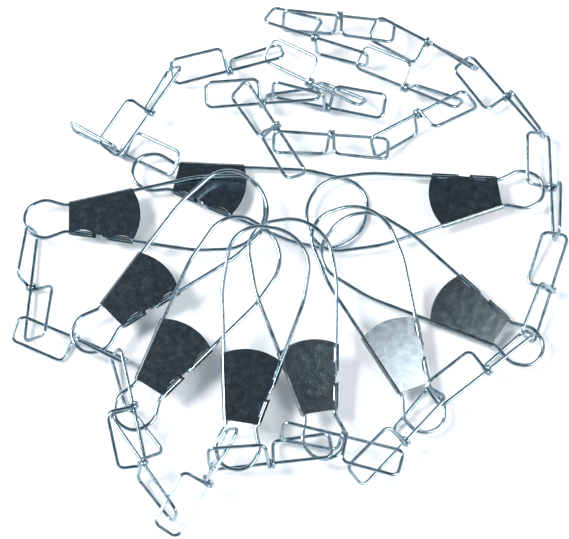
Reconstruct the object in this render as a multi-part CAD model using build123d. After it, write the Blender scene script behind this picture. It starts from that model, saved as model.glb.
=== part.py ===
from build123d import *
import os
from math import atan2, cos, degrees, radians, sin, tan

# Chain stringer for fish: 25 twisted wire links and nine spring snaps, laid out flat on a table.
# Millimetres, +Z up. The origin is on the table, under the middle of the layout's bounding box.

# Chain link: one wire bent into two loops on a common straight rail
CHAIN_WIRE = 1.6
LINK_LENGTH = 53.5
LOOP_WIDTH = 12.0
LOOP_TWIST = 70.0
LINK_BEND = 3.0
WRAP_TURN = 250.0
WRAP_PLAY = 0.1
LINK_PLAY = 0.3

# Spring snap: one wire with an eye, a bow and a latching arm
SNAP_WIRE = 1.8
SNAP_LENGTH = 111.0
EYE_LENGTH = 19.0
EYE_WIDTH = 20.0
EYE_RADIUS = 8.0
EYE_FRONT = 12.0
NECK_WIDTH = 13.0
NECK_BEND = 6.0
BOW_WIDTH = 37.0
BOW_LENGTH = 32.0
LEG_BEND = 50.0
TIGHT_BEND = 14.0
WIDE_BEND = 19.0
TIP_HOOK = 3.6
TIP_BEND = 1.6

# Clasp: folded sheet that grips the fixed leg and hooks the arm
SHEET = 0.5
CLASP_LENGTH = 29.5
CLASP_CROWN = 3.5
CLASP_PLAY = 0.15
LIP_GAP = 5.0
LIP_REACH = 2.0
STUB_END = 1.5
SCALLOP_DEPTH = 1.6
SCALLOP_EDGE = 1.3

# How the chain lies: where it starts, and the heading and roll of each link in degrees
FIRST_BAR = (-116.0, 17.0)
LINK_ANGLES = [
    (-86, 70), (-18, 150), (-80, 210), (-62, -70), (58, -25),
    (7, 20), (-16, 210), (46, 0), (34, -25), (73, 20),
    (96, 60), (133, 40), (155, 20), (173, -30), (-28, -55),
    (-29, -5), (-151, -25), (176, -25), (121, -10), (1, 0),
    (-10, 45), (147, 190), (-167, 175), (-125, 195), (-22, 60),
]

# How each link hooks in the last one: how far its near end bar lies back from the last link's far end
# bar, along its own heading and along the last link's heading, and how far it is lifted off the table by
# what lies under it
LINK_BACK = [
    (0, 0, 0), (9, 3, 0), (2, 5, 0), (6, 20, 2), (7, 0, 0),
    (2, 16, 2.5), (21, 1, 2.5), (12, 12, 1), (2, 1, 0), (2, 0, 0),
    (2, 0, 0.5), (3, 0, 2.5), (4, 4, 4), (8, 2, 0), (8, 0, 0),
    (2, 2, 0.5), (6, 0, 0), (7, 0, 0), (21, 0, 1), (17, 3, 0),
    (15, 7, 1.5), (2, 12, 1), (5, 2, 0), (3, 0, 0), (23, 6, 0),
]

# Snaps: the link that carries each and which end bar of it, and the heading and sideways tilt in degrees
SNAP_HOOKS = [
    ("link_01", "near"), ("link_25", "far"), ("link_02", "far"), ("link_04", "near"), ("link_05", "far"),
    ("link_07", "near"), ("link_08", "far"), ("link_09", "far"), ("link_11", "far"),
]
SNAP_ANGLES = [(2, 0), (-13, 0), (44, 1), (57, 0), (81, 0), (100, 2), (111, 3), (147, -2), (188, 0)]

# Where each snap's eye tip lies from that end bar in plan, and the heights of its wire at the eye's tip
# and at the end of the bow
SNAP_PLACE = [
    (-4, 5, 6.5, 8),
    (-20, -1, 5.5, 0.9),
    (-22.5, 7, 7, 12),
    (1.5, -6.5, 8.5, 15),
    (0.5, -18.5, 10, 21.5),
    (20, -11, 6.5, 18.5),
    (-2.5, -16, 3.5, 13),
    (5, -9.5, 4, 7.5),
    (1, -27, 5.5, 4.5),
]

WIRE_R = CHAIN_WIRE / 2
SNAP_R = SNAP_WIRE / 2


def corner_arcs(points, radii):
    """Straight runs through the points, with an arc of the given radius at each inner corner."""
    edges = []
    start = Vector(*points[0])
    for i in range(1, len(points) - 1):
        here = Vector(*points[i])
        back = (Vector(*points[i - 1]) - here).normalized()
        ahead = (Vector(*points[i + 1]) - here).normalized()
        turn = radians(180 - back.get_angle(ahead))
        reach = radii[i - 1] * tan(turn / 2)
        enter = here + back * reach
        leave = here + ahead * reach
        inward = (back + ahead).normalized()
        middle = here + inward * (radii[i - 1] / cos(turn / 2) - radii[i - 1])
        edges.append(Line(start, enter))
        edges.append(ThreePointArc(enter, middle, leave))
        start = leave
    edges.append(Line(start, Vector(*points[-1])))
    return edges


def wrap_arcs(x, start_angle, turn):
    """Arc pieces of a wire wrapped round the rail, from the angle where the cross bar meets it."""
    radius = 2 * WIRE_R + WRAP_PLAY
    half = turn / 2

    def at(angle):
        return Vector(x, radius * cos(radians(angle)), radius * sin(radians(angle)))

    first = ThreePointArc(at(start_angle), at(start_angle + half / 2), at(start_angle + half))
    second = ThreePointArc(at(start_angle + half), at(start_angle + 1.5 * half), at(start_angle + turn))
    return [first, second]


def loop_across(side):
    """Direction of a link's end bar at its near end (-1) or far end (1), in the link's own frame."""
    tilt = radians(-side * LOOP_TWIST / 2)
    return Vector(0, cos(tilt), sin(tilt))


def rail_plane():
    """Frame of a link's straight rail: origin at the knot, X along the rail."""
    ends = [Vector(side * LINK_LENGTH / 2, 0, 0) - loop_across(side) * LOOP_WIDTH / 2 for side in (-1, 1)]
    along = ends[1] - ends[0]
    return Plane(origin=(ends[0] + ends[1]) / 2, x_dir=along, z_dir=along.cross(Vector(0, 1, 0)))


def link_path():
    """Centre line of one link in its own frame: X from near to far end bar, origin midway between them."""
    rail = rail_plane()
    wrap_x = WIRE_R + WRAP_PLAY / 2
    offset = CHAIN_WIRE + WRAP_PLAY

    def half(side):
        """Points from the rail's end round one loop to the rail again, and the angle where it meets it."""
        across = loop_across(side) * LOOP_WIDTH / 2
        end = Vector(side * LINK_LENGTH / 2, 0, 0)
        shoulder = rail.to_local_coords(end + across)
        angle = degrees(atan2(shoulder.Z, shoulder.Y)) - side * 90
        beside = Vector(0, cos(radians(angle)), sin(radians(angle))) * offset
        corner = Vector(side * wrap_x, shoulder.Y, shoulder.Z) + beside
        meet = Vector(side * wrap_x, 0, 0) + beside
        return [rail.to_local_coords(end - across), shoulder, corner, meet], angle

    near, near_angle = half(-1)
    far, far_angle = half(1)
    points = list(reversed(near)) + far
    edges = corner_arcs(points, [LINK_BEND for _ in points[1:-1]])
    near_wrap = wrap_arcs(-wrap_x, near_angle, WRAP_TURN)
    far_wrap = wrap_arcs(wrap_x, far_angle, -WRAP_TURN)
    return rail.location * Wire(near_wrap + edges + far_wrap)


def round_wire(path, diameter):
    """Solid wire of one diameter along a path."""
    section = Plane(origin=path @ 0, z_dir=path % 0) * Circle(diameter / 2)
    return sweep(section, path=path)


def link_frame(near_bar, heading, roll):
    """Location that lays a link with the middle of its near end bar at a point."""
    ahead = Vector(cos(radians(heading)), sin(radians(heading)), 0)
    left = Vector(-sin(radians(heading)), cos(radians(heading)), 0)
    up = Vector(0, 0, 1) * cos(radians(roll)) - left * sin(radians(roll))
    return Plane(origin=near_bar + ahead * LINK_LENGTH / 2, x_dir=ahead, z_dir=up).location


def bar_height(link, roll):
    """Height of a link's end bars when its lowest wire lies on the table."""
    return -(Rot(roll, 0, 0) * link).bounding_box().min.Z


def lay_links(link):
    """Near bar, far bar, heading and roll of every link, each hooked in the one before."""
    places = {}
    last = None
    least = CHAIN_WIRE + LINK_PLAY
    for i, ((heading, roll), (own_back, last_back, lift)) in enumerate(zip(LINK_ANGLES, LINK_BACK), 1):
        ahead = Vector(cos(radians(heading)), sin(radians(heading)), 0)
        if last is None:
            near = Vector(*FIRST_BAR)
        else:
            near = last["far"] - ahead * max(own_back, least) - last["ahead"] * last_back
        near = Vector(near.X, near.Y, bar_height(link, roll) + lift)
        far = near + ahead * LINK_LENGTH
        last = {"near": near, "far": far, "ahead": ahead, "heading": heading, "roll": roll}
        places[f"link_{i:02d}"] = last
    return places


def leg_y(x):
    """Distance of either leg from the snap's centre line, between the neck and the bow."""
    slope = (BOW_WIDTH - NECK_WIDTH) / 2 / (SNAP_LENGTH - BOW_LENGTH - EYE_LENGTH)
    return NECK_WIDTH / 2 + slope * (x - EYE_LENGTH)


def clasp_start():
    """Place along the snap of the clasp's narrow end, just past the bend at the neck."""
    leg_angle = atan2((BOW_WIDTH - NECK_WIDTH) / 2, SNAP_LENGTH - BOW_LENGTH - EYE_LENGTH)
    eye_angle = atan2((EYE_WIDTH - NECK_WIDTH) / 2, EYE_LENGTH / 2)
    return EYE_LENGTH + NECK_BEND * tan((leg_angle + eye_angle) / 2)


def lip_span():
    """Places along the snap of the clasp's two ends and of the gap between its lips."""
    start = clasp_start()
    gap_middle = start + CLASP_LENGTH / 2
    return start, gap_middle - LIP_GAP / 2, gap_middle + LIP_GAP / 2, start + CLASP_LENGTH


def split_y():
    """Where the arm takes over from the fixed wire, on the straight end of the bow."""
    return (WIDE_BEND - TIGHT_BEND) / 2


def snap_wire_path():
    """Centre line of the fixed wire: stub under the first lip, eye, closed leg and half the bow."""
    bow_start = SNAP_LENGTH - BOW_LENGTH
    stub = lip_span()[1] - STUB_END
    eye_side = EYE_LENGTH / 2
    eye_front = EYE_FRONT / 2
    points = [
        (stub, -leg_y(stub)),
        (EYE_LENGTH, -NECK_WIDTH / 2),
        (eye_side, -EYE_WIDTH / 2),
        (0, -eye_front),
        (0, eye_front),
        (eye_side, EYE_WIDTH / 2),
        (EYE_LENGTH, NECK_WIDTH / 2),
        (bow_start, BOW_WIDTH / 2),
        (SNAP_LENGTH, BOW_WIDTH / 2),
        (SNAP_LENGTH, split_y()),
    ]
    radii = [NECK_BEND] + [EYE_RADIUS] * 4 + [NECK_BEND, LEG_BEND, TIGHT_BEND]
    return Wire(corner_arcs(points, radii))


def arm_path():
    """Centre line of the latching arm: half the bow, the free leg and its hooked tip."""
    bow_start = SNAP_LENGTH - BOW_LENGTH
    tip = clasp_start() + CLASP_LENGTH / 2
    points = [
        (SNAP_LENGTH, split_y()),
        (SNAP_LENGTH, -BOW_WIDTH / 2),
        (bow_start, -BOW_WIDTH / 2),
        (tip, -leg_y(tip)),
        (tip, -leg_y(tip) + TIP_HOOK),
    ]
    return Wire(corner_arcs(points, [WIDE_BEND, LEG_BEND, TIP_BEND]))


def fold_profile(side):
    """Section of a fold round one leg: over the wire, down its outer side and back in under it."""
    inner = SNAP_R + CLASP_PLAY
    outer = inner + SHEET
    middle = (inner + outer) / 2
    ring = Circle(outer) - Circle(inner)
    half = ring & Pos(outer / 2, 0) * Rectangle(outer, 2 * outer)
    lip = Pos(-LIP_REACH / 2, -side * middle) * Rectangle(LIP_REACH, SHEET)
    top = Pos(-LIP_REACH / 2, side * middle) * Rectangle(LIP_REACH, SHEET)
    return half + lip + top


def fold(side, start, end):
    """Fold along the closed leg (1) or the arm's leg (-1), between two places along the snap."""
    foot = Vector(start, side * leg_y(start), 0)
    head = Vector(end, side * leg_y(end), 0)
    along = head - foot
    outward = Vector(0, 0, 1).cross(along) * side
    section = Plane(origin=foot, x_dir=outward, z_dir=along) * fold_profile(side)
    return extrude(section, amount=along.length, dir=along)


def clasp_solid():
    """Sheet clasp: a flared plate over both legs, one edge folded shut and two hooking lips."""
    narrow, lip_end, lip_start, wide = lip_span()
    level = SNAP_R + CLASP_PLAY
    narrow_y = leg_y(narrow)
    wide_y = leg_y(wide)
    with BuildPart() as plate:
        with BuildSketch(Plane.XY.offset(level)):
            with BuildLine():
                Polyline((wide, wide_y), (narrow, narrow_y), (narrow, -narrow_y), (wide, -wide_y))
                ThreePointArc((wide, -wide_y), (wide + CLASP_CROWN, 0), (wide, wide_y))
            make_face()
        extrude(amount=SHEET)
    body = plate.part + fold(1, narrow, wide) + fold(-1, narrow, lip_end) + fold(-1, lip_start, wide)
    for start, end in ((narrow, lip_end), (lip_start, wide)):
        middle = (start + end) / 2
        width = end - start - 2 * SCALLOP_EDGE
        radius = width**2 / (8 * SCALLOP_DEPTH) + SCALLOP_DEPTH / 2
        centre = Vector(middle, -leg_y(middle) - radius + SCALLOP_DEPTH, level + SHEET)
        body -= Pos(centre) * Cylinder(radius, 2 * level)
    return body


def snap_frame(tip, heading, bow_height, tilt):
    """Location that lays a snap with its eye's tip at a point and its bow at a height."""
    ahead = Vector(cos(radians(heading)), sin(radians(heading)), 0) * SNAP_LENGTH
    along = ahead + Vector(0, 0, bow_height - tip.Z)
    side = Vector(-sin(radians(heading)), cos(radians(heading)), 0)
    return Plane(origin=tip, x_dir=along, z_dir=along.cross(side)).location * Rot(tilt, 0, 0)


def lay_snaps(links):
    """Location of every snap."""
    places = []
    for (link, end), (heading, tilt), place in zip(SNAP_HOOKS, SNAP_ANGLES, SNAP_PLACE):
        away_x, away_y, eye_height, bow_height = place
        bar = links[link][end]
        tip = Vector(bar.X + away_x, bar.Y + away_y, eye_height)
        places.append(snap_frame(tip, heading, bow_height, tilt))
    return places


def table_shift(pieces):
    """Move that puts the origin under the middle of the layout, at the height of its lowest wire."""
    box = Compound(list(pieces.values())).bounding_box()
    middle = box.center()
    return Pos(-middle.X, -middle.Y, -box.min.Z)


def build():
    """Every piece by name, in the stringer's frame."""
    link = round_wire(link_path(), CHAIN_WIRE)
    links = lay_links(link)
    pieces = {}
    for name, place in links.items():
        pieces[name] = link_frame(place["near"], place["heading"], place["roll"]) * link
    wire = round_wire(snap_wire_path(), SNAP_WIRE)
    arm = round_wire(arm_path(), SNAP_WIRE)
    clasp = clasp_solid()
    for i, place in enumerate(lay_snaps(links), 1):
        pieces[f"snap_{i}_wire"] = place * wire
        pieces[f"snap_{i}_arm"] = place * arm
        pieces[f"snap_{i}_clasp"] = place * clasp
    shift = table_shift(pieces)
    return {name: shift * piece for name, piece in pieces.items()}


def main():
    os.makedirs("parts", exist_ok=True)
    for name, piece in build().items():
        export_step(piece, f"parts/{name}.step")


if __name__ == "__main__":
    main()
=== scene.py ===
import math

import bpy
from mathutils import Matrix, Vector

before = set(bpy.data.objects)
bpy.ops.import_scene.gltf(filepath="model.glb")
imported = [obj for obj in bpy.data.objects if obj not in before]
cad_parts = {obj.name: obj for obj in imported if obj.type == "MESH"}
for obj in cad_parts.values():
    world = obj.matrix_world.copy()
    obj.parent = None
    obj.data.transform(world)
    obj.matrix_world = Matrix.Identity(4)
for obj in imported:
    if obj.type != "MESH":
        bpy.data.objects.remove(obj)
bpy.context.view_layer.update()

# Camera: the photograph's viewing angle, in metres and degrees
CAMERA_TARGET = Vector((-0.0036, -0.0038, 0.0))
CAMERA_ELEVATION = 68.0
CAMERA_DISTANCE = 0.80
CAMERA_LENS = 110.0

# Floor and light: a lamp's place and size are in metres, its power is in watts
FLOOR_HALF = 2.0
FLOOR_DROP = 0.0002
FLOOR_COLOUR = (0.90, 0.92, 0.94)
FLOOR_ROUGHNESS = 0.9
WORLD_LOW = (0.52, 0.57, 0.61)
WORLD_RING = (0.93, 0.97, 1.00)
WORLD_TOP = (0.075, 0.105, 0.135)
WORLD_STRENGTH = 0.8
LAMPS = {
    "key": ((-0.95, 0.15, 0.95), 0.5, 22.0),
    "fill": ((0.9, -0.55, 1.0), 0.7, 14.0),
    "card": ((0.273, 0.106, 0.867), 0.08, 0.25),
}

# Zinc colours, from dark to light
CHAIN_ZINC = ((0.16, 0.25, 0.30), (0.36, 0.46, 0.52))
SNAP_ZINC = ((0.18, 0.27, 0.32), (0.40, 0.50, 0.56))
CLASP_ZINC = ((0.19, 0.23, 0.26), (0.27, 0.32, 0.35), (0.42, 0.48, 0.52))


def new_material(name):
    """Empty node material with its shader and output joined."""
    mat = bpy.data.materials.new(name)
    mat.use_nodes = True
    tree = mat.node_tree
    shader = tree.nodes["Principled BSDF"]
    return mat, tree, shader


def add(tree, kind, **inputs):
    """Node of a kind, with values for its named inputs."""
    node = tree.nodes.new(kind)
    for key, value in inputs.items():
        node.inputs[key.replace("_", " ")].default_value = value
    return node


def noise(tree, coords, scale, detail=4.0, roughness=0.55):
    """Noise over the surface, with the given number of features per metre."""
    node = add(tree, "ShaderNodeTexNoise", Scale=scale, Detail=detail, Roughness=roughness)
    tree.links.new(coords, node.inputs["Vector"])
    return node.outputs["Fac"]


def ramp(tree, value, stops):
    """Colour ramp through (place, colour) stops."""
    node = tree.nodes.new("ShaderNodeValToRGB")
    band = node.color_ramp
    while len(band.elements) < len(stops):
        band.elements.new(0.5)
    for element, (place, colour) in zip(band.elements, stops):
        element.position = place
        element.color = (*colour, 1.0)
    tree.links.new(value, node.inputs["Fac"])
    return node.outputs["Color"]


def spread(tree, value, low, high):
    """The middle of a noise's range spread over another range."""
    node = tree.nodes.new("ShaderNodeMapRange")
    node.inputs["From Min"].default_value = 0.3
    node.inputs["From Max"].default_value = 0.7
    node.inputs["To Min"].default_value = low
    node.inputs["To Max"].default_value = high
    tree.links.new(value, node.inputs["Value"])
    return node.outputs["Result"]


def bumps(tree, shader, heights):
    """Chain of bumps from (value, distance in metres, strength)."""
    normal = None
    for value, distance, strength in heights:
        node = add(tree, "ShaderNodeBump", Strength=strength, Distance=distance)
        tree.links.new(value, node.inputs["Height"])
        if normal is not None:
            tree.links.new(normal, node.inputs["Normal"])
        normal = node.outputs["Normal"]
    tree.links.new(normal, shader.inputs["Normal"])


def zinc_wire(name, dark, light):
    """Bright zinc plate on drawn wire: patchy colour, fine spangle, dull spots and small nicks."""
    mat, tree, shader = new_material(name)
    coords = tree.nodes.new("ShaderNodeTexCoord").outputs["Object"]
    patches = noise(tree, coords, 140.0)
    grain = noise(tree, coords, 1800.0, 3.0)
    nicks = noise(tree, coords, 620.0, 2.0, 0.7)
    colour = ramp(tree, patches, [(0.30, dark), (0.52, light), (0.75, dark)])
    tree.links.new(colour, shader.inputs["Base Color"])
    tree.links.new(spread(tree, patches, 0.10, 0.20), shader.inputs["Roughness"])
    bumps(tree, shader, [(grain, 0.00003, 0.25), (nicks, 0.00006, 0.25)])
    shader.inputs["Metallic"].default_value = 1.0
    return mat


def zinc_sheet(name, dark, middle, light):
    """Plated sheet: finely speckled dark grey with a pebbled skin and a fine grain."""
    mat, tree, shader = new_material(name)
    coords = tree.nodes.new("ShaderNodeTexCoord").outputs["Object"]
    mottle = noise(tree, coords, 330.0, 12.0, 0.8)
    pebble_node = add(tree, "ShaderNodeTexVoronoi", Scale=1600.0)
    tree.links.new(coords, pebble_node.inputs["Vector"])
    pebble = pebble_node.outputs["Distance"]
    grain = noise(tree, coords, 2500.0, 2.0)
    colour = ramp(tree, mottle, [(0.34, dark), (0.50, middle), (0.66, light)])
    tree.links.new(colour, shader.inputs["Base Color"])
    tree.links.new(spread(tree, mottle, 0.16, 0.23), shader.inputs["Roughness"])
    bumps(tree, shader, [(pebble, 0.00006, 0.14), (grain, 0.00004, 0.16)])
    shader.inputs["Metallic"].default_value = 1.0
    return mat


def dress_nodes():
    """Chain wire, snap wire and clasp sheet each get their own zinc."""
    chain_look = zinc_wire("bright_zinc_wire", *CHAIN_ZINC)
    snap_look = zinc_wire("bright_zinc_snap_wire", *SNAP_ZINC)
    clasp_look = zinc_sheet("dull_zinc_sheet", *CLASP_ZINC)
    for name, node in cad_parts.items():
        look = chain_look
        if name.endswith("_clasp"):
            look = clasp_look
        elif name.startswith("snap"):
            look = snap_look
        node.data.materials.clear()
        node.data.materials.append(look)


def pale_floor():
    """Wide pale floor under the object."""
    bpy.ops.mesh.primitive_plane_add(size=2 * FLOOR_HALF, location=(0, 0, -FLOOR_DROP))
    floor = bpy.context.object
    floor.name = "floor"
    mat, tree, shader = new_material("pale_floor")
    shader.inputs["Base Color"].default_value = (*FLOOR_COLOUR, 1.0)
    shader.inputs["Roughness"].default_value = FLOOR_ROUGHNESS
    floor.data.materials.append(mat)


def studio_world():
    """Soft room light: a bright ring of walls under a dark ceiling, so that flat metal looks dark."""
    world = bpy.data.worlds.new("studio")
    bpy.context.scene.world = world
    world.use_nodes = True
    tree = world.node_tree
    sky = tree.nodes["Background"]
    coords = tree.nodes.new("ShaderNodeTexCoord").outputs["Generated"]
    split = tree.nodes.new("ShaderNodeSeparateXYZ")
    tree.links.new(coords, split.inputs["Vector"])
    stops = [
        (0.0, WORLD_LOW),
        (0.30, WORLD_RING),
        (0.60, WORLD_RING),
        (0.80, WORLD_TOP),
        (1.0, WORLD_TOP),
    ]
    shade = ramp(tree, split.outputs["Z"], stops)
    tree.links.new(shade, sky.inputs["Color"])
    sky.inputs["Strength"].default_value = WORLD_STRENGTH


def area_light(name, place, size, power):
    """Square soft light aimed at the middle of the object."""
    lamp = bpy.data.lights.new(name, "AREA")
    lamp.size = size
    lamp.energy = power
    obj = bpy.data.objects.new(name, lamp)
    obj.location = place
    obj.rotation_euler = (CAMERA_TARGET - Vector(place)).to_track_quat("-Z", "Y").to_euler()
    bpy.context.collection.objects.link(obj)


def photo_camera():
    """Camera at the photograph's viewing angle."""
    cam = bpy.data.cameras.new("camera")
    cam.lens = CAMERA_LENS
    obj = bpy.data.objects.new("camera", cam)
    rise = math.radians(CAMERA_ELEVATION)
    obj.location = CAMERA_TARGET + CAMERA_DISTANCE * Vector((0.0, -math.cos(rise), math.sin(rise)))
    obj.rotation_euler = (math.pi / 2 - rise, 0.0, 0.0)
    bpy.context.collection.objects.link(obj)
    bpy.context.scene.camera = obj


dress_nodes()
pale_floor()
studio_world()
for lamp_name, (place, size, power) in LAMPS.items():
    area_light(lamp_name, place, size, power)
photo_camera()
bpy.context.scene.view_settings.view_transform = "Standard"
